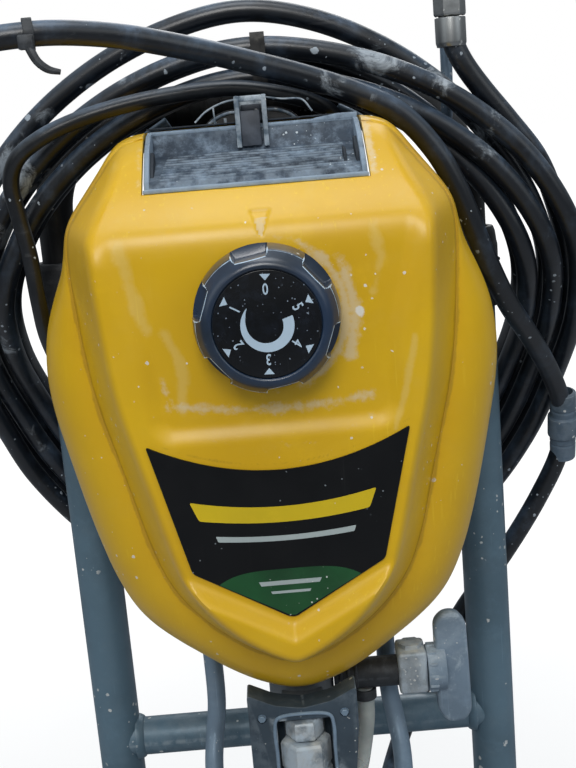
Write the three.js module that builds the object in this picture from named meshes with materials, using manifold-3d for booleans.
// Airless paint sprayer on a two-wheeled cart: pump unit with shield-shaped front cover, coiled
// spray hose, spray gun, telescoping push handle, suction set and pail hook.
// Millimetres, +Z up, front towards -Y; left is -X and right is +X, as seen from the front.
// Heights in this file are measured from the pressure knob's axis; y = 0 is the plane of the two
// upright frame tubes. The finished model stands on z = 0.
import * as THREE from "three";
import { mergeVertices } from "three/addons/utils/BufferGeometryUtils.js";
import Module from "manifold-3d";

const wasm = await Module();
wasm.setup();

// ================= driving dimensions =================
const KNOB_Z = 640; // height of the pressure knob's axis above the floor
const FLOOR = -KNOB_Z;
const CENTRING_Y = 29.25; // shift that puts the origin under the middle of the footprint
const TUBE_X = 111; // half the spacing of the two frame tubes
const TUBE_R = 12.7;
const BORE_R = 11.2; // bore of the frame tubes, where the handle slides
const HANDLE_R = 9.8;
const HANDLE_TOP = 88; // handle bar, pushed in
const HANDLE_LEG = 300; // length of the handle legs below the knob axis
const WHEEL_R = 100;
const WHEEL_X = 158;
const AXLE_Y = 62;
const AXLE_Z = FLOOR + WHEEL_R;
const AXLE_R = 6;
const AXLE_HALF = 183;
const SKID_Y = -215; // front end of the skids
const SKID_Z = FLOOR + 16.5;
const SKID_BEND_R = 80;
const KNOB_Y = -151.5; // back face of the knob
const HOSE_R = 5.5;
const CORD_R = 4;
const PUMP_Y = -70; // axis of the pump cylinder and suction tube
const PISTON_Y = -90;
const OUTLET_Y = -108; // axis of the pump's outlet and the hose nut on it
const SIDES = [[-1, "left"], [1, "right"]];

// ================= materials =================
const MATERIALS = {
  yellow: { color: 0xd9a514, roughness: 0.45 },
  frame: { color: 0x5d6f7a, roughness: 0.45, metalness: 0.3 },
  dark: { color: 0x2b2f33, roughness: 0.6 },
  black: { color: 0x17181a, roughness: 0.6 },
  knob: { color: 0x333b45, roughness: 0.45 },
  label: { color: 0x0d0e12, roughness: 0.35 },
  steel: { color: 0xa9adb0, roughness: 0.35, metalness: 1 },
  cast: { color: 0x8d9194, roughness: 0.5, metalness: 0.9 },
  hose: { color: 0x14161b, roughness: 0.5 },
  rubber: { color: 0x1c1c1d, roughness: 0.85 },
  grey: { color: 0x7f8b96, roughness: 0.5 },
  clear: { color: 0xd8d9cf, roughness: 0.4 },
  red: { color: 0xa32a1e, roughness: 0.5 },
  green: { color: 0x1f5a33, roughness: 0.6 },
  copper: { color: 0x8a6a4a, roughness: 0.5, metalness: 0.6 },
};

// ================= solids and meshes =================
const root = new THREE.Group();
const unit = new THREE.Group();
unit.position.set(0, CENTRING_Y, 0);
root.add(unit);

function solid(geometry) {
  const loose = geometry.index ? geometry.toNonIndexed() : geometry.clone();
  const bare = new THREE.BufferGeometry();
  bare.setAttribute("position", loose.getAttribute("position"));
  const merged = mergeVertices(bare, 1e-3);
  return new wasm.Manifold(new wasm.Mesh({
    numProp: 3,
    vertProperties: merged.attributes.position.array,
    triVerts: new Uint32Array(merged.index.array),
  }));
}

function flipped(geometry) {
  const loose = geometry.toNonIndexed();
  const coords = loose.getAttribute("position").array;
  for (let i = 0; i < coords.length; i += 9) {
    for (let k = 0; k < 3; k++) {
      [coords[i + 3 + k], coords[i + 6 + k]] = [coords[i + 6 + k], coords[i + 3 + k]];
    }
  }
  return loose;
}

// A solid whose faces point outwards, whichever way the geometry was wound.
function outwardSolid(geometry) {
  const shape = solid(geometry);
  return shape.volume() < 0 ? solid(flipped(geometry)) : shape;
}

function indexedGeometry(coords, index) {
  const geometry = new THREE.BufferGeometry();
  geometry.setAttribute("position", new THREE.Float32BufferAttribute(coords, 3));
  return geometry.setIndex(index);
}

function geometryOf(shape) {
  const { numProp, numVert, vertProperties, triVerts } = shape.getMesh();
  const coords = [];
  for (let i = 0; i < numVert; i++) {
    for (let k = 0; k < 3; k++) coords.push(vertProperties[numProp * i + k]);
  }
  return indexedGeometry(coords, new THREE.BufferAttribute(new Uint32Array(triVerts), 1));
}

function add(name, shape, material) {
  const look = new THREE.MeshStandardMaterial(MATERIALS[material]);
  const mesh = new THREE.Mesh(geometryOf(shape), look);
  mesh.name = name;
  unit.add(mesh);
}

const union = (...shapes) => shapes.reduce((sum, shape) => sum.add(shape));
const cut = (body, ...tools) => tools.reduce((rest, tool) => rest.subtract(tool), body);

// ================= shape helpers =================
const UP = new THREE.Vector3(0, 1, 0); // axis of three's own cylinders and lathes
const ALONG_X = new THREE.Vector3(1, 0, 0);
const ALONG_Z = new THREE.Vector3(0, 0, 1);
const FORWARD = new THREE.Vector3(0, -1, 0);

// A point whose z is measured from the knob axis.
const spot = (x, y, z) => new THREE.Vector3(x, y, KNOB_Z + z);
const spots = (rows) => rows.map(([x, y, z]) => spot(x, y, z));
const mirrored = (side, [low, high]) => (side > 0 ? [low, high] : [-high, -low]);

// A box from its [low, high] range on each axis.
function box([x0, x1], [y0, y1], [z0, z1]) {
  const geometry = new THREE.BoxGeometry(x1 - x0, y1 - y0, z1 - z0);
  geometry.translate((x0 + x1) / 2, (y0 + y1) / 2, KNOB_Z + (z0 + z1) / 2);
  return solid(geometry);
}

// A cylinder along one axis: that coordinate is a [from, to] pair, the other two are numbers.
function rod(x, y, z, radius, sides, endRadius = radius) {
  const end = (k) => spot(...[x, y, z].map((value) => (Array.isArray(value) ? value[k] : value)));
  const start = end(0);
  const run = end(1).sub(start);
  const length = run.length();
  const geometry = new THREE.CylinderGeometry(endRadius, radius, length, sides, 1);
  geometry.translate(0, length / 2, 0);
  geometry.applyQuaternion(new THREE.Quaternion().setFromUnitVectors(UP, run.normalize()));
  geometry.translate(start.x, start.y, start.z);
  return solid(geometry);
}

// A closed tube through a list of points, mitred at each, turned by parallel transport.
function tube(points, radius, sides) {
  const coords = [];
  const index = [];
  const last = points.length - 1;
  const direction = (i) => points[i + 1].clone().sub(points[i]).normalize();
  const first = direction(0);
  const normal = new THREE.Vector3(0, 0, 1);
  if (Math.abs(first.z) >= 0.9) normal.set(0, 1, 0);
  normal.addScaledVector(first, -normal.dot(first)).normalize();
  points.forEach((point, i) => {
    const before = i > 0 ? direction(i - 1) : first;
    const after = i < last ? direction(i) : before;
    const tangent = before.clone().add(after).normalize();
    normal.addScaledVector(tangent, -normal.dot(tangent)).normalize();
    const binormal = tangent.clone().cross(normal);
    // the ring is stretched in the plane of the bend, so that the tube keeps its width
    const stretch = 1 / Math.max(0.5, tangent.dot(after));
    const bend = after.clone().sub(before);
    const bends = bend.length() > 1e-6;
    if (bends) bend.addScaledVector(tangent, -bend.dot(tangent)).normalize();
    for (let k = 0; k < sides; k++) {
      const angle = (2 * Math.PI * k) / sides;
      const offset = normal.clone().multiplyScalar(radius * Math.cos(angle));
      offset.addScaledVector(binormal, radius * Math.sin(angle));
      if (bends) offset.addScaledVector(bend, offset.dot(bend) * (stretch - 1));
      coords.push(point.x + offset.x, point.y + offset.y, point.z + offset.z);
    }
  });
  for (let i = 0; i < last; i++) {
    for (let k = 0; k < sides; k++) {
      const a = i * sides + k;
      const b = i * sides + ((k + 1) % sides);
      index.push(a, b, b + sides, a, b + sides, a + sides);
    }
  }
  const end = last * sides;
  for (let k = 1; k < sides - 1; k++) {
    index.push(0, k + 1, k);
    index.push(end, end + k, end + k + 1);
  }
  return solid(indexedGeometry(coords, index));
}

// A tube of straight runs, with an arc of bendRadius at each inner corner.
function bentBar(corners, bendRadius, radius, sides, arcSteps) {
  const points = [corners[0]];
  for (let i = 1; i < corners.length - 1; i++) {
    const corner = corners[i];
    const back = corners[i - 1].clone().sub(corner).normalize();
    const ahead = corners[i + 1].clone().sub(corner).normalize();
    const halfAngle = Math.acos(Math.max(-1, Math.min(1, back.dot(ahead)))) / 2;
    const setback = bendRadius / Math.tan(halfAngle);
    const arcStart = corner.clone().addScaledVector(back, setback);
    const arcEnd = corner.clone().addScaledVector(ahead, setback);
    const inward = back.clone().add(ahead).normalize();
    const centre = corner.clone().addScaledVector(inward, bendRadius / Math.sin(halfAngle));
    const spoke = arcStart.clone().sub(centre);
    const endSpoke = arcEnd.sub(centre);
    const angle = spoke.angleTo(endSpoke);
    const axis = spoke.clone().cross(endSpoke).normalize();
    for (let j = 0; j <= arcSteps; j++) {
      points.push(spoke.clone().applyAxisAngle(axis, (j / arcSteps) * angle).add(centre));
    }
  }
  points.push(corners[corners.length - 1]);
  return tube(points, radius, sides);
}

const smoothCurve = (rows) => new THREE.CatmullRomCurve3(spots(rows), false, "centripetal");

// A turned shape; the profile is [radius, distance along the axis] pairs, closed on the axis or
// on itself.
function lathe(profile, sides, centre, axis) {
  const points = profile.map(([radius, along]) => new THREE.Vector2(radius, along));
  const geometry = new THREE.LatheGeometry(points, sides);
  geometry.applyQuaternion(new THREE.Quaternion().setFromUnitVectors(UP, axis));
  geometry.translate(centre.x, centre.y, centre.z);
  return outwardSolid(geometry);
}

function extrusion(outline, depth, placement) {
  const shape = new THREE.Shape(outline.map(([u, z]) => new THREE.Vector2(u, KNOB_Z + z)));
  const geometry = new THREE.ExtrudeGeometry(shape, { depth, bevelEnabled: false });
  return solid(geometry.applyMatrix4(placement));
}

// An outline of [y, z] points, extruded along X.
function prismX(outline, [low, high]) {
  const placement = new THREE.Matrix4().makeBasis(UP, ALONG_Z, ALONG_X).setPosition(low, 0, 0);
  return extrusion(outline, high - low, placement);
}

// An outline of [x, z] points, extruded along Y.
function prismY(outline, [low, high]) {
  const placement = new THREE.Matrix4().makeBasis(ALONG_X, ALONG_Z, FORWARD);
  return extrusion(outline, high - low, placement.setPosition(0, high, 0));
}

// A skin over a loop of rings of equally many [x, y, z] points, the last joined to the first.
// Ring cappedRing and the next are closed by flat faces instead of being joined.
function ringSkin(rings, cappedRing = -1) {
  const count = rings[0].length;
  const coords = rings.flat().flatMap(([x, y, z]) => [x, y, KNOB_Z + z]);
  const index = [];
  rings.forEach((ring, i) => {
    const near = i * count;
    const far = ((i + 1) % rings.length) * count;
    if (i === cappedRing) {
      for (let k = 1; k < count - 1; k++) {
        index.push(near, near + k + 1, near + k);
        index.push(far, far + k, far + k + 1);
      }
      return;
    }
    for (let k = 0; k < count; k++) {
      const next = (k + 1) % count;
      index.push(near + k, far + k, far + next, near + k, far + next, near + next);
    }
  });
  return outwardSolid(indexedGeometry(coords, index));
}

// Straight-line interpolation in a table whose first column rises.
function interpolate(rows, value, column = 1) {
  let i = 0;
  while (rows[i + 1][0] < value) i++;
  const [low, high] = [rows[i], rows[i + 1]];
  const share = (value - low[0]) / (high[0] - low[0]);
  return low[column] + share * (high[column] - low[column]);
}

function smoothStep(value) {
  const t = Math.max(0, Math.min(1, value));
  return t * t * (3 - 2 * t);
}

// The smaller of two values, blended where they differ by less than width.
function smoothMin(a, b, width) {
  const share = Math.max(0, Math.min(1, 0.5 + (b - a) / (2 * width)));
  return b * (1 - share) + a * share - width * share * (1 - share);
}

// ================= cart =================
function axlePlate(side) {
  const outline = [
    [-6, FLOOR + 60], [AXLE_Y - 8, FLOOR + 84], [AXLE_Y + 10, FLOOR + 92],
    [AXLE_Y + 12, FLOOR + 108], [AXLE_Y - 4, FLOOR + 116], [6, FLOOR + 175], [-6, FLOOR + 175],
  ];
  return prismX(outline, [side * TUBE_X - 3, side * TUBE_X + 3]);
}

function frameTube(side) {
  const x = side * TUBE_X;
  const corners = [spot(x, 0, 8), spot(x, 0, SKID_Z), spot(x, SKID_Y, SKID_Z)];
  return bentBar(corners, SKID_BEND_R, TUBE_R, 12, 5);
}

function cartFrame() {
  const span = [-TUBE_X, TUBE_X];
  let frame = union(
    frameTube(-1), frameTube(1), axlePlate(-1), axlePlate(1),
    rod(span, 0, -270, 11, 12), // cross tube under the unit
    rod(span, 0, FLOOR + 150, 10, 12), // lower cross tube
    box(span, [-2.5, 2.5], [-152, -116]), // unit mounting plate
  );
  for (const [side] of SIDES) {
    const x = side * TUBE_X;
    const handleBore = rod(x, 0, [-HANDLE_LEG - 12, 20], BORE_R, 12);
    const axleHole = rod([side * (TUBE_X - 12), side * (TUBE_X + 12)], AXLE_Y, AXLE_Z,
      AXLE_R + 0.7, 12);
    frame = cut(frame, handleBore, axleHole);
  }
  return frame;
}
add("cart_frame", cartFrame(), "frame");

// Rods that carry the top of the hose coil: x, y, z of the right one.
const HANGER_PATH = [
  [111, -17.2, -80], [107, -18.5, -62], [97, -23, -42], [92, -25, -15], [90, -25, 10],
  [84, -25, 36], [70, -25, 60], [56, -25, 75], [43, -25, 83],
];
const mirroredPath = (rows, side) => spots(rows.map(([x, y, z]) => [side * x, y, z]));
for (const [side, name] of SIDES) {
  add("hose_hanger_" + name, tube(mirroredPath(HANGER_PATH, side), 3.5, 6), "frame");
}

add("axle", rod([-AXLE_HALF, AXLE_HALF], AXLE_Y, AXLE_Z, AXLE_R, 12), "steel");

// Half profiles of the wheel parts: radius, distance along the axle.
const RIM_PROFILE = [
  [6.6, -21], [14, -21], [16, -9], [58, -7], [64, -16], [72, -16], [72, 16], [64, 16], [58, 7],
  [16, 9], [14, 21], [6.6, 21], [6.6, -21],
];
const TYRE_PROFILE = [
  [72.5, -15.5], [86, -19], [96, -15], [WHEEL_R, -6], [WHEEL_R, 6], [96, 15], [86, 19],
  [72.5, 15.5], [72.5, -15.5],
];
const HUB_CAP_PROFILE = [[0, 9], [9, 8], [13, 3], [13, 0], [6.6, 0], [6.6, 4.4], [0, 4.4]];
const HUB_CAP_X = AXLE_HALF - 3.4;
for (const [side, name] of SIDES) {
  const centre = spot(side * WHEEL_X, AXLE_Y, AXLE_Z);
  const capBase = spot(side * HUB_CAP_X, AXLE_Y, AXLE_Z);
  const outward = new THREE.Vector3(side, 0, 0);
  add("wheel_rim_" + name, lathe(RIM_PROFILE, 20, centre, ALONG_X), "black");
  add("tyre_" + name, lathe(TYRE_PROFILE, 20, centre, ALONG_X), "rubber");
  add("hub_cap_" + name, lathe(HUB_CAP_PROFILE, 12, capBase, outward), "dark");
}

// Rubber foot on the front end of a skid.
function frontFoot(side) {
  const x = side * TUBE_X;
  const outline = [
    [SKID_Y + 38, FLOOR], [SKID_Y + 38, FLOOR + 31], [SKID_Y - 1, FLOOR + 33],
    [SKID_Y - 5.5, FLOOR + 29], [SKID_Y - 5.5, FLOOR + 3], [SKID_Y - 2, FLOOR],
  ];
  const socket = rod(x, [SKID_Y - 0.4, SKID_Y + 60], SKID_Z, TUBE_R + 0.6, 12);
  return cut(prismX(outline, [x - 17, x + 17]), socket);
}
for (const [side, name] of SIDES) add("front_foot_" + name, frontFoot(side), "rubber");

// Pail hook: one rod bent to a U, hanging from under the gearbox arms, its lower bend turned up.
// x, y, z of the right half, from the top to the middle of the bend.
const PAIL_HOOK_PATH = [
  [47, -52.4, -128.5], [47, -52.4, -225], [49, -54, -240], [51, -61, -256], [51, -66, -272],
  [49, -66, -300], [49, -68, -338], [49, -80, -352], [49, -100, -356], [49, -113, -350],
  [49, -120, -335], [42, -123, -323], [28, -124, -318],
];
const hookLeft = mirroredPath(PAIL_HOOK_PATH, -1);
const hookRight = mirroredPath(PAIL_HOOK_PATH, 1);
add("pail_hook", tube([...hookLeft, ...hookRight.reverse()], 5, 6), "frame");

// ================= telescoping handle =================
const BUTTON_Z = -10;
const BUTTON_HOLE_R = 4.6;
const COLLAR_PROFILE = [
  [10.6, 9], [14.5, 9], [15.6, 6], [15.6, -28], [13.3, -28], [13.3, 8.3], [10.6, 8.6], [10.6, 9],
];
const COLLAR_TOP_PROFILE = [
  [10.7, 8.6], [10.7, 15], [13.5, 15], [14.6, 12], [15, 8.6], [10.7, 8.6],
];

const handleCorners = spots([
  [-TUBE_X, 0, -HANDLE_LEG], [-TUBE_X, 0, HANDLE_TOP],
  [TUBE_X, 0, HANDLE_TOP], [TUBE_X, 0, -HANDLE_LEG],
]);
add("handle_tube", bentBar(handleCorners, 48, HANDLE_R, 12, 4), "black");
const gripSleeve = rod([-58, 58], 0, HANDLE_TOP, 13, 12);
const gripBore = rod([-60, 60], 0, HANDLE_TOP, HANDLE_R + 0.5, 12);
add("handle_grip", cut(gripSleeve, gripBore), "rubber");

function handleCollar(x) {
  const collar = union(
    lathe(COLLAR_PROFILE, 12, spot(x, 0, 0), ALONG_Z),
    lathe(COLLAR_TOP_PROFILE, 12, spot(x, 0, 0), ALONG_Z),
  );
  const pocket = rod(x, [13.5, 30], BUTTON_Z, BUTTON_HOLE_R, 12);
  const bossHole = rod(x, [10, 30], BUTTON_Z, BUTTON_HOLE_R, 12);
  const boss = cut(rod(x, [13.9, 21], BUTTON_Z, 7, 12), bossHole);
  return union(cut(collar, pocket), boss);
}
for (const [side, name] of SIDES) {
  const x = side * TUBE_X;
  add("handle_collar_" + name, handleCollar(x), "dark");
  add("handle_button_" + name, rod(x, [17.4, 24], BUTTON_Z, 4, 12), "red");
}

// ================= front cover =================
// Outlines seen from the front: x, z of the right half from the top down.
const SHIELD_HALF = [ // foot of the raised face
  [0, 78], [30, 78], [48, 77.5], [58, 75.5], [64, 71], [70, 62.5], [77, 53], [83, 45], [86, 38],
  [87, 28], [86.8, 18], [86, 4], [85, -10], [83.5, -26], [80.5, -44], [76.5, -60], [71.5, -80],
  [67, -100], [62.5, -117], [56, -133], [45, -147.5], [30, -160.5], [12, -171], [0, -174],
];
const SKIRT_HALF = [ // outer edge
  [0, 80], [30, 80], [50, 79.5], [60, 77.5], [66, 73], [72, 64.5], [79, 55], [85, 47], [89, 39],
  [91, 30], [94, 20], [99, 9], [103, -1], [106, -12], [107.5, -25], [107.5, -36], [106, -50],
  [103, -65], [99.5, -82], [96, -98], [92, -114], [87, -131], [80, -147], [72, -158],
  [60, -168.5], [48, -177], [34, -187], [18, -195.5], [0, -200],
];
const closedLoop = (half) => [...half, ...half.slice(1, -1).reverse().map(([x, z]) => [-x, z])];
const SHIELD = closedLoop(SHIELD_HALF);
const SKIRT = closedLoop(SKIRT_HALF);
const COVER_SIDES = 52; // points in each ring
const COVER_HOLE_R = 5; // hole on the knob axis
const COVER_BACK_Y = -58;
const COVER_WALL = 3; // towards the axis
const COVER_FRONT_WALL = 3.4; // along Y
// rings over the front face, as shares of the way from the axis to the shield outline
const FACE_SHARES = [0, 0.3, 0.46, 0.58, 0.68, 0.76, 0.83, 0.89, 0.945, 1];

function distanceToLoop(loop, x, z) {
  let nearest = Infinity;
  loop.forEach(([ax, az], i) => {
    const [bx, bz] = loop[(i + 1) % loop.length];
    const dx = bx - ax;
    const dz = bz - az;
    const along = ((x - ax) * dx + (z - az) * dz) / (dx * dx + dz * dz);
    const t = Math.max(0, Math.min(1, along));
    nearest = Math.min(nearest, Math.hypot(x - ax - t * dx, z - az - t * dz));
  });
  return nearest;
}

// Distance from the knob axis to a loop, along an angle turned from the top towards +X.
function reach(loop, angle) {
  const dx = Math.sin(angle);
  const dz = Math.cos(angle);
  let farthest = 0;
  loop.forEach(([ax, az], i) => {
    const [bx, bz] = loop[(i + 1) % loop.length];
    const ex = bx - ax;
    const ez = bz - az;
    const det = ex * dz - dx * ez;
    if (Math.abs(det) < 1e-9) return;
    const distance = (ex * az - ax * ez) / det;
    const share = (dx * az - dz * ax) / det;
    const onEdge = share >= -1e-9 && share <= 1 + 1e-9;
    if (distance > 0 && onEdge) farthest = Math.max(farthest, distance);
  });
  return farthest;
}

// Angles of points spaced evenly along a loop.
function evenAngles(loop, count) {
  const starts = [];
  let perimeter = 0;
  const edge = (i) => {
    const [a, b] = [loop[i], loop[(i + 1) % loop.length]];
    return { a, b, length: Math.hypot(b[0] - a[0], b[1] - a[1]) };
  };
  for (let i = 0; i < loop.length; i++) {
    starts.push(perimeter);
    perimeter += edge(i).length;
  }
  return Array.from({ length: count }, (_, k) => {
    const along = (k / count) * perimeter;
    let i = loop.length - 1;
    while (starts[i] > along) i--;
    const { a, b, length } = edge(i);
    const t = (along - starts[i]) / length;
    return Math.atan2(a[0] + t * (b[0] - a[0]), a[1] + t * (b[1] - a[1]));
  });
}

// How far ahead of y = 0 the shield's foot and the skirt's front edge stand; both fall back at
// the top.
const topShare = (z) => smoothStep((z - 38) / 40);
const shieldFoot = (z) => 118 - 18 * topShare(z);
const skirtEdge = (z) => 92 - 6 * topShare(z);
// Rise of the label's arched top towards its sides.
const labelArch = (x) => 12 * Math.pow(x / 57, 2);
const LABEL_FACE = 152.5; // flat pocket for the label, ahead of y = 0

// Distance outside the flat knob recess, negative inside it.
function outsideRecess(absX, z) {
  if (z > 36) return (absX - (62 + (z - 36) * 0.185)) * 0.98;
  if (z > -40) return (absX - (43 + (z + 40) * 0.25)) * 0.97;
  return Math.hypot(Math.max(0, absX - 43), z + 40);
}

// How far the front face stands ahead of y = 0 at (x, z), inside the shield outline.
function coverFront(x, z) {
  const absX = Math.abs(x);
  // the recess's sides ramp forward to a ridge, higher and wider below the knob
  const low = smoothStep((-8 - z) / 40);
  const ramp = smoothStep(outsideRecess(absX, z) / (14 + 10 * low));
  const ridge = 150 + (5 + 8 * low) * ramp;
  // the top shoulder leans back
  const above = Math.max(0, z - 24);
  const shoulder = 152.5 - 0.028 * Math.pow(above, 2) + 0.00018 * Math.pow(above, 3);
  let face = smoothMin(ridge, shoulder, 4);
  // flat label pocket below an arched lip
  const lip = -67 + labelArch(absX);
  face += (LABEL_FACE - face) * smoothStep((lip - z) / 4.5);
  // V-shaped rim under the label
  const outsideV = absX * 0.478 - (z + 138.5) * 0.878;
  if (z < -60) face += 6.5 * smoothStep(outsideV / 9);
  // side wall down to the foot of the shield
  const wall = shieldFoot(z) + 2.35 * distanceToLoop(SHIELD, x, z);
  return smoothMin(face, wall, 6);
}

// The cover is one closed shell: rings run out over the front, down the skirt, round the rim and
// back inside.
function frontCover() {
  const rings = [];
  const angles = evenAngles(SKIRT, COVER_SIDES);
  const addRing = (radiusAt, aheadAt) => rings.push(angles.map((angle) => {
    const radius = radiusAt(angle);
    const x = radius * Math.sin(angle);
    const z = radius * Math.cos(angle);
    return [x, -aheadAt(x, z), z];
  }));
  for (const share of FACE_SHARES) {
    const radiusAt = (angle) => (share === 0 ? COVER_HOLE_R : share * reach(SHIELD, angle));
    addRing(radiusAt, share === 1 ? (x, z) => shieldFoot(z) : coverFront);
  }
  // share: from shield to skirt outline; drop: from the shield's foot to the skirt's front edge
  for (const [share, drop] of [[0.7, 0.35], [1, 1]]) {
    addRing(
      (angle) => {
        const inner = reach(SHIELD, angle);
        return inner + share * (reach(SKIRT, angle) - inner);
      },
      (x, z) => shieldFoot(z) + drop * (skirtEdge(z) - shieldFoot(z)),
    );
  }
  addRing((angle) => reach(SKIRT, angle), () => -COVER_BACK_Y);

  // inside: some of the same rings, closer to the axis and, but for the rim, further back
  const rim = rings.length - 1;
  for (const source of [rim, rim - 1, rim - 3, 6, 3]) {
    const back = source === rim ? 0 : COVER_FRONT_WALL;
    rings.push(rings[source].map(([x, y, z]) => {
      const radius = Math.hypot(x, z);
      const scale = Math.max(COVER_HOLE_R / radius, 1 - COVER_WALL / radius);
      return [x * scale, y + back, z * scale];
    }));
  }
  rings.push(rings[0].map(([x, y, z]) => [x, y + COVER_FRONT_WALL, z]));

  return cut(
    ringSkin(rings),
    box([-49.5, 49.5], [-200, -77], [53.4, 120]), // notch for the tool tray
    box([-8.2, 8.2], [-79, -73.2], [53.4, 120]), // slot for the tray's clip
    box([-18.6, 18.6], [-93.2, -50], [-215, -183]), // underside opening for the pump
  );
}
add("front_cover", frontCover(), "yellow");

// Label in the pocket: a flat plate with an arched top and a V bottom.
function frontLabel() {
  const outline = [];
  for (let i = 0; i <= 8; i++) {
    const x = -54 + i * 13.5;
    outline.push([x, -73 + labelArch(x)]);
  }
  outline.push([43, -112.5], [2, -135.2], [-2, -135.2], [-43, -112.5]);
  return prismY(outline, [-154.2, -153]);
}
add("front_label", frontLabel(), "label");

// Tool tray in the notch: y, z of its floor strip and of its end walls.
const TRAY_FLOOR = [
  [-125, 54.4], [-119, 54.4], [-94, 64.6], [-82.5, 64.6], [-82.5, 84], [-85.5, 84],
  [-92, 70.5], [-124, 57.4],
];
const TRAY_END = [
  [-125, 54.4], [-82.5, 54.4], [-82.5, 84], [-92, 83], [-106, 76], [-116, 67], [-124, 58.5],
];
function toolTray() {
  const half = 48.9;
  const wall = 2.4;
  const ends = [-1, 1].map((side) => prismX(TRAY_END, mirrored(side, [half - wall, half])));
  const ribs = [];
  for (let i = 0; i < 6; i++) {
    const y = -119 + i * 5;
    const z = 59.6 + (y + 119) * 0.409; // follows the sloping floor
    ribs.push(box([-40, 40], [y, y + 1.4], [z - 1.5, z + 0.9]));
  }
  return union(prismX(TRAY_FLOOR, [-half, half]), ...ends, ...ribs);
}
add("tool_tray", toolTray(), "dark");
const clipBody = box([-7.5, 7.5], [-82.2, -74], [62, 92]);
const clipGap = box([-5, 5], [-90, -76.5], [60, 89]);
add("tray_clip", cut(clipBody, clipGap), "dark");

// ================= pressure knob =================
// Half profile: radius, distance forward of the knob's back face.
const KNOB_PROFILE = [
  [0, 0], [26, 0], [31, 1], [31.2, 8], [29.5, 15], [28, 19], [27, 21.5], [24.5, 23.2],
  [22.6, 23], [22.4, 21.4], [0, 21.4],
];
function pressureKnob() {
  const scallopPitchR = 46.2;
  const scallops = [];
  for (let i = 0; i < 6; i++) {
    const angle = ((-10 + 60 * i) * Math.PI) / 180;
    const x = scallopPitchR * Math.sin(angle);
    const z = scallopPitchR * Math.cos(angle);
    scallops.push(rod(x, [KNOB_Y - 14.5, KNOB_Y - 2.5], z, 17.6, 24));
  }
  const stemHole = rod(0, [KNOB_Y + 1, KNOB_Y - 15], 0, 3.6, 10);
  return cut(lathe(KNOB_PROFILE, 24, spot(0, KNOB_Y, 0), FORWARD), ...scallops, stemHole);
}
add("pressure_knob", pressureKnob(), "knob");
add("knob_dial", rod(0, [KNOB_Y - 21.7, KNOB_Y - 22.7], 0, 22, 24), "label");
const controlBody = rod(0, [-143.8, -124], 0, 11, 12);
const controlStem = rod(0, [-165, -140], 0, 3.1, 10);
add("pressure_control", union(controlBody, controlStem), "steel");

// ================= rear housing =================
// Stations of the shell: half width, top, bottom, y. Outside front to back, then inside back to
// front.
const HOUSING_STATIONS = [
  [84, 50, -108, -56.5], [84, 50, -108, -10], [80, 49, -100, 60], [74, 43, -92, 82],
  [60, 31, -80, 92],
  [56, 28, -76, 89], [71, 40, -89, 79], [77, 46, -97, 58], [81, 47, -105, -10],
  [81, 47, -105, -56.5],
];
const HOUSING_BACK = 4; // outer station that carries the back wall
const HOUSING_SIDES = 28;
const SQUARENESS = 0.62; // exponent of the rounded section: 1 gives an ellipse, less is squarer
const DOME_OUTLINE = [
  [-32, 47.5], [32, 47.5], [32, 70], [20, 84], [12, 87], [-12, 87], [-20, 84], [-32, 70],
];
const DOME_HOLLOW = [[-29, 40], [29, 40], [29, 69], [18, 81], [-18, 81], [-29, 69]];

function housingRing([halfWidth, top, bottom, y]) {
  const soften = (value) => Math.sign(value) * Math.pow(Math.abs(value), SQUARENESS);
  return Array.from({ length: HOUSING_SIDES }, (_, i) => {
    const angle = (2 * Math.PI * i) / HOUSING_SIDES;
    const x = soften(Math.sin(angle)) * halfWidth;
    return [x, y, (top + bottom) / 2 + (soften(Math.cos(angle)) * (top - bottom)) / 2];
  });
}

// A rounded shell round the motor, with a low dome at its front top and vents in its back wall.
function rearHousing() {
  const shell = ringSkin(HOUSING_STATIONS.map(housingRing), HOUSING_BACK);
  const domed = shell.add(prismY(DOME_OUTLINE, [-56.5, -20]));
  const vents = [];
  for (let i = 0; i < 6; i++) {
    vents.push(box([-42, 42], [70, 120], [12 - i * 14, 16.5 - i * 14]));
  }
  return cut(
    domed,
    prismY(DOME_HOLLOW, [-60, -23]),
    ...vents,
    box([-95, -70], [-1, 29.6], [-60.4, -29.6]), // for the power switch
    box([-64.5, 64.5], [-60, -35.5], [-125, -90]), // for the foot of the gearbox casting
  );
}
add("rear_housing", rearHousing(), "black");

// ================= drive: motor, gears, yoke =================
const MOTOR = { x: 0, z: 2 };
const STEP = { x: 25.66, z: -31.25 };
const CRANK = { x: 0, z: -73 };
const PINION_TEETH = 10;
const STEP_TEETH = 32;
const CRANK_TEETH = 36;

// The turn that sets a gear's gap against a tooth of its pinion, which is itself unturned.
function meshingTurn(teeth, centre, pinion) {
  const toPinion = Math.atan2(pinion.x - centre.x, pinion.z - centre.z);
  const pinionPhase = ((toPinion + Math.PI) * PINION_TEETH) / (2 * Math.PI);
  return toPinion + ((pinionPhase + 0.5) * 2 * Math.PI) / teeth;
}

function gear(centre, span, tipRadius, rootRadius, teeth, turn = 0) {
  const tooth = [[-0.24, rootRadius], [-0.08, tipRadius], [0.08, tipRadius], [0.24, rootRadius]];
  const outline = [];
  for (let i = 0; i < teeth; i++) {
    for (const [share, radius] of tooth) {
      const angle = turn + ((i + share) * 2 * Math.PI) / teeth;
      outline.push([centre.x + radius * Math.sin(angle), centre.z + radius * Math.cos(angle)]);
    }
  }
  return prismY(outline.reverse(), span);
}

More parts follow.
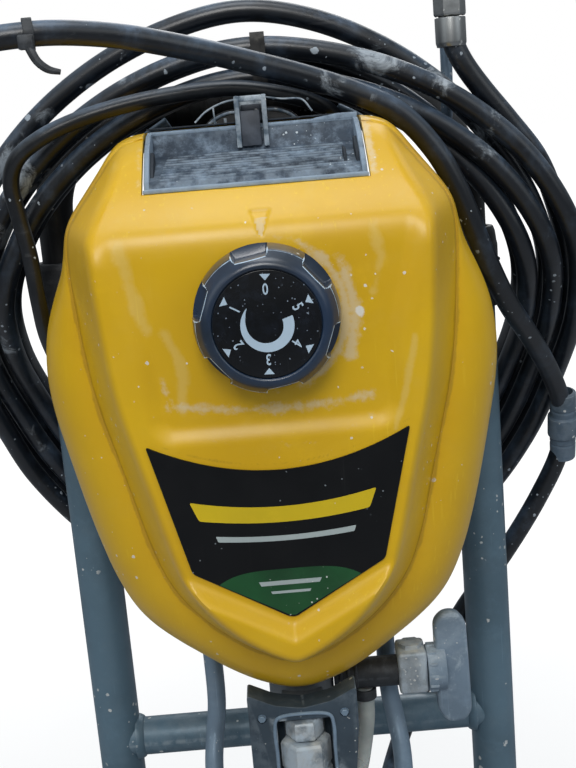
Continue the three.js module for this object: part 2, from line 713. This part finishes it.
add("motor_can", cut(
  rod(0, [-30, 52], MOTOR.z, 41, 20),
  rod(0, [-26, 60], MOTOR.z, 38, 20),
  rod(0, [-40, 0], MOTOR.z, 9, 12),
), "steel");
add("motor_armature", union(
  rod(0, [-72, 68], MOTOR.z, 4, 10),
  rod(0, [-18, 44], MOTOR.z, 33, 16),
  gear(MOTOR, [-66, -48], 11.3, 8.3, PINION_TEETH),
), "copper");

function coolingFan() {
  let fan = cut(rod(0, [56, 59], MOTOR.z, 30, 16), rod(0, [50, 70], MOTOR.z, 4.6, 10));
  for (let i = 0; i < 8; i++) {
    const blade = new THREE.BoxGeometry(2, 9, 24);
    blade.translate(0, 63, 18);
    blade.rotateY((i * Math.PI) / 4);
    blade.translate(0, 0, KNOB_Z + MOTOR.z);
    fan = fan.add(solid(blade));
  }
  return fan;
}
add("cooling_fan", coolingFan(), "dark");

add("step_gear", union(
  gear(STEP, [-64, -54], 33.3, 30.3, STEP_TEETH, meshingTurn(STEP_TEETH, STEP, MOTOR)),
  gear(STEP, [-80, -63.5], 12, 8.9, PINION_TEETH),
  rod(STEP.x, [-86, -50], STEP.z, 4, 10),
), "steel");
add("crank_gear", union(
  gear(CRANK, [-80, -69], 39.7, 36.6, CRANK_TEETH, meshingTurn(CRANK_TEETH, CRANK, STEP)),
  rod(0, [-69.5, -40], CRANK.z, 7, 12),
), "steel");

// Gearbox casting: a plate with shaft holes behind the gears, arms forward to the pump block and
// stand-offs back to the mounting plate.
const CASTING_OUTLINE = [
  [-48, -112], [48, -112], [58, -80], [64, -20], [44, 20], [16, 34], [-16, 34], [-40, 20],
  [-48, -20],
];
function gearboxCasting() {
  let casting = cut(
    prismY(CASTING_OUTLINE, [-47, -36]),
    rod(0, [-60, 0], MOTOR.z, 9.4, 12),
    rod(0, [-60, -38], CRANK.z, 7.6, 12),
    rod(STEP.x, [-60, -38], STEP.z, 4.6, 10),
  );
  for (const [side] of SIDES) {
    const arm = box(mirrored(side, [46, 58]), [-100, -36], [-128, -109]);
    const standOff = rod(side * 50, [-37, -2.8], -134, 8, 8);
    casting = union(casting, arm, standOff);
  }
  return casting.add(box([-58, 58], [-47, -36], [-150, -106]));
}
add("gearbox_casting", gearboxCasting(), "cast");

// Yoke with its cross slot, and the piston under it.
function crossheadYoke() {
  const depth = [-98, -84];
  return union(
    box([-32, 32], depth, [-84, -78]),
    box([-32, 32], depth, [-68, -62]),
    box([-32, -27], depth, [-84, -62]),
    box([27, 32], depth, [-84, -62]),
    box([-7, 7], [-96, -84], [-98, -83]),
  );
}
add("crosshead_yoke", crossheadYoke(), "steel");
add("piston_rod", rod(0, PISTON_Y, [-160, -98.4], 7, 12), "steel");

// ================= electrics =================
add("control_board", box([-42, 42], [-122, -120], [-34, 40]), "green");
add("switch_bezel", cut(
  box([-90, -75], [0.6, 28], [-59, -31]),
  box([-100, -80], [4, 24.6], [-55.5, -34.5]), // recess for the rocker
  box([-86, -60], [6.5, 22], [-53, -37]),
), "dark");
const ROCKER_OUTLINE = [
  [-94, -55], [-88.6, -55], [-86.8, -45], [-88.6, -35], [-90.5, -35], [-91.6, -45],
];
add("power_switch", prismY(ROCKER_OUTLINE, [4.8, 23.8]), "red");

// ================= pump =================
// Manifold block between the gearbox arms.
add("pump_manifold", cut(
  union(
    box([-26, 26], [-101, -62], [-171, -129]),
    box([-26, 26], [-95.5, -62], [-180, -170]),
    box([-58, 58], [-100, -76], [-142, -128.6]),
  ),
  rod(0, PISTON_Y, [-169.4, -120], 7.8, 12), // piston bore
), "cast");

// Shroud below the cover, with the outlet's opening in its front.
const SHROUD_OUTLINE = [
  [-27, -241], [-13, -252], [13, -252], [24, -241], [27, -214], [27, -193], [14, -199.5],
  [0, -202], [-14, -199.5], [-27, -193],
];
const SHROUD_OPENING = [[-13.5, -208], [13.5, -208], [13.5, -260], [-13.5, -260]];
add("outlet_shroud", cut(
  prismY(SHROUD_OUTLINE, [-113, -99.2]),
  rod(0, OUTLET_Y, [-300, -208], 13.5, 16),
  prismY(SHROUD_OPENING, [-130, OUTLET_Y]),
), "frame");
add("outlet_fitting", union(
  rod(0, OUTLET_Y, [-228, -209], 9.4, 6),
  rod(0, OUTLET_Y, [-238, -227], 6, 10),
), "steel");

add("pump_cylinder", union(
  rod(0, PUMP_Y, [-240, -180.4], 17, 16),
  box([-11, 11], [-98.2, PUMP_Y], [-226, -206]), // block reaching forward to the outlet
), "cast");
const BUTTON_HEIGHT = -254; // inlet push button
add("inlet_valve_housing", cut(
  union(rod(0, PUMP_Y, [-262, -240.5], 17.5, 6), rod(0, PUMP_Y, [-272, -261], 13, 12)),
  rod(0, [PUMP_Y - 30, PUMP_Y - 8], BUTTON_HEIGHT, 5.6, 10),
), "steel");
const inletButton = rod(0, [PUMP_Y - 13.5, PUMP_Y - 20.5], BUTTON_HEIGHT, 5, 10);
add("inlet_push_button", inletButton, "red");

// Prime valve, with its lever knob on the right.
const PRIME_Z = -207;
add("prime_valve", union(
  rod([17.3, 53], PUMP_Y, PRIME_Z, 8, 10),
  box([51, 66], [PUMP_Y - 10, PUMP_Y + 10], [PRIME_Z - 16, PRIME_Z + 13]),
  rod([65, 71], PUMP_Y, PRIME_Z, 5, 10),
), "steel");
const PADDLE_OUTLINE = [ // x, z from the valve's axis
  [71, 26], [76, 31], [83, 31], [88, 25], [89, -25], [85, -31], [76, -31], [71, -24],
];
function primeValveKnob() {
  const outline = PADDLE_OUTLINE.map(([x, z]) => [x, PRIME_Z + z]);
  const paddle = prismY(outline, [PUMP_Y - 4, PUMP_Y + 4]);
  const hub = rod([66.4, 76], PUMP_Y, PRIME_Z, 12, 16);
  return cut(union(hub, paddle), rod([60, 71.4], PUMP_Y, PRIME_Z, 5.5, 10));
}
add("prime_valve_knob", primeValveKnob(), "grey");

// Suction set.
const SUCTION_TOP = -273;
const SOCKET_R = 11.4; // bores that take the suction tube
add("suction_nut", cut(
  rod(0, PUMP_Y, [SUCTION_TOP - 20, SUCTION_TOP + 0.5], 15.5, 8),
  rod(0, PUMP_Y, [SUCTION_TOP - 30, SUCTION_TOP - 4], SOCKET_R, 12),
), "dark");
add("suction_tube", cut(
  rod(0, PUMP_Y, [FLOOR + 62, SUCTION_TOP - 4.6], 10.8, 12),
  rod(0, PUMP_Y, [FLOOR + 50, SUCTION_TOP - 12], 8.6, 12),
), "black");
add("suction_strainer", cut(
  union(
    rod(0, PUMP_Y, [FLOOR + 40, FLOOR + 61], 19, 12),
    rod(0, PUMP_Y, [FLOOR + 61, FLOOR + 86], 14.5, 12),
  ),
  rod(0, PUMP_Y, [FLOOR + 61.6, FLOOR + 90], SOCKET_R, 12),
  rod(0, PUMP_Y, [FLOOR + 30, FLOOR + 55], 15, 12),
), "dark");
const RETURN_PATH = [ // x, z, from the prime valve down beside the suction tube
  [33, PRIME_Z - 8.4], [33, PRIME_Z - 24], [29, -255], [24, -275], [21.5, -305], [21.5, -400],
  [21.5, FLOOR + 150],
];
add("return_tube", tube(RETURN_PATH.map(([x, z]) => spot(x, PUMP_Y, z)), 4.5, 8), "clear");

// ================= spray hose =================
// The coil hangs over the housing in front of the handle, passes outside the frame tubes and
// hangs behind them. Six turns, three lanes wide and two layers deep; each turn moves over to its
// next lane on the upper right.
const COIL = { x: -1, z: -30 };
const LAYER_PITCH = 17.6;
const UPPER_NARROWING = 1.15; // exponent that draws the upper half in at the sides
const COIL_LANES = [ // lane, half width, reach below the centre, reach above it
  [0, 139, 135, 131],
  [1, 153, 151, 145],
  [2, 167, 167, 164],
];
const COIL_DEPTH = [ // degrees from the top, y of the front layer
  [0, -52.1], [40, -51.4], [58, -48.5], [70, -44.5], [76, -39.5], [92, -8], [108, 24],
  [118, 29], [135, 32], [150, 33], [180, 33],
];
const COIL_TURNS = [[2, 1], [1, 1], [0, 1], [0, 0], [1, 0], [2, 0]]; // lane, layer
// x, y, z from the gun's swivel down the outside of the right side
const HOSE_START = [
  [101, -41, 120.6], [101, -41, 114], [103.5, -41, 106], [108, -40.5, 97.5], [116, -39.5, 86],
  [128, -38, 70.5], [143, -34, 50], [155, -23, 22], [163, -9, -6],
];
// x, y, z of the loose outer loop: up the left side, over the top in front, along the cover's
// shoulder, down the right side and under to the pump's outlet
const HOSE_END = [
  [-156, 18, -84], [-164, -6, -42], [-168, -40, 12], [-165, -78, 64], [-152, -106, 101],
  [-124, -122, 120], [-92, -121, 124.5], [-60, -110, 122.5], [-28, -97, 115.5], [2, -82, 107],
  [28, -74, 98.5], [50, -72, 89.5], [70, -71, 78.5], [86, -70, 60], [96, -68, 41],
  [104, -64, 20], [112, -57, 0], [123, -44, -22], [138, -26, -45], [151, -9, -68],
  [160, 5, -92], [160, 12.5, -118], [148, 19, -148], [125, 20.5, -184], [100, 20.5, -216],
  [80, 20.5, -250], [64, 18, -279], [52, 6, -300], [42, -18, -316], [36.5, -50, -330],
  [34, -76, -334], [22, -97, -330], [7, -108, -314], [0.5, -110, -293], [0, -108, -272],
  [0, -108, -252.5],
];

// A point of the coil, degrees from the top down the right (1) or the left (-1) side.
function coilPoint(side, degrees, lane, layer) {
  const upper = degrees < 90;
  const angle = (degrees * Math.PI) / 180;
  const halfWidth = interpolate(COIL_LANES, lane, 1);
  const height = interpolate(COIL_LANES, lane, upper ? 3 : 2);
  const bulge = Math.pow(Math.sin(angle), upper ? UPPER_NARROWING : 1);
  return [
    COIL.x + side * halfWidth * bulge,
    interpolate(COIL_DEPTH, degrees) + LAYER_PITCH * layer,
    COIL.z + height * Math.cos(angle),
  ];
}

function hosePoints() {
  const points = [...HOSE_START];
  // every 15 degrees, both ends included; place gives the lane and layer at each angle
  const follow = (side, from, to, place) => {
    const step = 15 * Math.sign(to - from);
    for (let degrees = from; degrees !== to + step; degrees += step) {
      points.push(coilPoint(side, degrees, ...place(degrees)));
    }
  };
  COIL_TURNS.forEach(([lane, layer], i) => {
    const stay = () => [lane, layer];
    follow(1, 90, 180, stay);
    if (i === COIL_TURNS.length - 1) {
      follow(-1, 165, 120, stay);
      return;
    }
    follow(-1, 165, 0, stay);
    const [nextLane, nextLayer] = COIL_TURNS[i + 1];
    follow(1, 15, 75, (degrees) => {
      const share = smoothStep(degrees / 90);
      return [lane + share * (nextLane - lane), layer + share * (nextLayer - layer)];
    });
  });
  return [...points, ...HOSE_END];
}
add("spray_hose", tube(smoothCurve(hosePoints()).getSpacedPoints(220), HOSE_R, 6), "hose");
add("hose_nut_pump", cut(
  union(rod(0, OUTLET_Y, [-251, -229.5], 12.5, 8), rod(0, OUTLET_Y, [-262, -250.6], 9.5, 10)),
  rod(0, OUTLET_Y, [-240, -220], 6.6, 10),
  rod(0, OUTLET_Y, [-280, -251.5], 6.4, 10),
), "steel");

// ================= power cord =================
// x, y, z from the top of the housing forward over the hose, a tight turn at the left, then down
// the left side to the plug behind.
const CORD_PATH = [
  [44, -40, 51], [44.5, -43, 64], [40, -50, 80], [30, -60, 87], [15, -65, 92], [-8, -66.5, 96.5],
  [-45, -68, 95], [-78, -72, 89], [-100, -74, 81], [-113, -72, 72], [-118, -68, 61],
  [-117, -66, 46], [-114, -66, 26], [-112.5, -66, 3], [-112, -59, -16], [-108, -48, -37],
  [-100, -42, -60], [-94, -34, -84], [-93, -14, -100], [-93, 10, -106], [-92, 36, -110],
  [-86, 70, -116], [-70, 97, -126], [-51, 105, -150], [-43, 105, -185], [-42.5, 105, -192],
];
add("power_cord", union(
  tube(smoothCurve(CORD_PATH).getSpacedPoints(56), CORD_R, 6),
  rod(-42.5, 105, [-188, -226], 7, 8, 13), // moulded plug, widening downwards
  box([-50, -48], [101, 109], [-244, -224]), // two flat pins
  box([-37, -35], [101, 109], [-244, -224]),
), "hose");

// ================= spray gun =================
// It rests upright by the hose coil: its fluid tube runs up and its nozzle points to -X.
// The gun's own shapes are measured from its bottom swivel.
const GUN = { x: 101, y: -41, z: 132.5 };
const HEAD_Z = 141; // axis of the gun's head
const TIP_X = -55;
const shifted = (value, by) => (Array.isArray(value) ? value.map((v) => v + by) : value + by);
const toGun = (x, y, z) => [shifted(x, GUN.x), shifted(y, GUN.y), shifted(z, GUN.z)];
const gunRod = (x, y, z, radius, sides) => rod(...toGun(x, y, z), radius, sides);
const gunBox = (x, y, z) => box(...toGun(x, y, z));
const gunPrism = (outline, halfWidth) =>
  prismY(outline.map(([x, z]) => [GUN.x + x, GUN.z + z]), [GUN.y - halfWidth, GUN.y + halfWidth]);

add("gun_swivel", cut(
  union(gunRod(0, 0, [-10, 4], 8, 6), gunRod(0, 0, [3.8, 12], 6, 10)),
  gunRod(0, 0, [-30, -8], 6.6, 10),
), "steel");

const FLUID_TUBE_PATH = [[0, 0, 12.4], [-0.5, 0, 60], [-2, 0, 110], [-2, 0, 128]];
const TUBE_FOOT = [[-6, 14], [17, 24], [17, 34], [-6, 24]];
const fluidTube = tube(spots(FLUID_TUBE_PATH.map((row) => toGun(...row))), 4.6, 8);
add("gun_fluid_tube", union(fluidTube, gunPrism(TUBE_FOOT, 4)), "grey");

const GUN_BODY_OUTLINE = [ // handle behind, head above
  [17.5, 22], [33, 24], [58, 80], [76, 130], [74, 152], [-40, 152], [-46, 146], [-46, 134],
  [-40, 129], [42, 129], [44, 112], [34, 66], [19, 36],
];
add("gun_body", cut(
  union(gunPrism(GUN_BODY_OUTLINE, 13), gunRod([72, 82], 0, HEAD_Z, 9, 8)),
  gunBox([-9, 5], [-6.6, 6.6], [60, 132]), // for the fluid tube
  gunBox([5.5, 27], [-4.6, 4.6], [120, 142]), // for the trigger
), "dark");

const TRIGGER_OUTLINE = [
  [8, 140], [22, 140], [22, 131], [19, 112], [15, 85], [12, 62], [7, 62], [9, 85], [12, 112],
  [8, 128],
];
add("gun_trigger", gunPrism(TRIGGER_OUTLINE, 4), "red");

add("gun_tip_guard", cut(
  union(
    gunRod([-46.6, -64], 0, HEAD_Z, 13, 12),
    gunBox([-84, -63], [-13, -9], [130, 152]),
    gunBox([-84, -63], [9, 13], [130, 152]),
  ),
  gunRod(TIP_X, 0, [120, 160], 5.4, 10),
  gunRod([-57, -70], 0, HEAD_Z, 4, 8),
), "dark");
add("gun_spray_tip", union(
  gunRod(TIP_X, 0, [129, 156], 5, 10),
  gunBox([-57, -36], [-2.5, 2.5], [154.2, 164]),
), "red");

// Rest that holds the gun: a rod up from the right hose hanger, hooked round the fluid tube.
const GUN_REST_PATH = [
  [94.5, -22.8, 22], [96, -22.5, 48], [100, -22.5, 80], [101, -22.5, 120], [101, -23, 158],
  [106, -28, 166], [110.5, -36, 168], [109, -46, 168], [101, -51.5, 168], [94, -50, 168],
];
add("gun_rest", tube(spots(GUN_REST_PATH), 3, 6), "frame");

export default root;
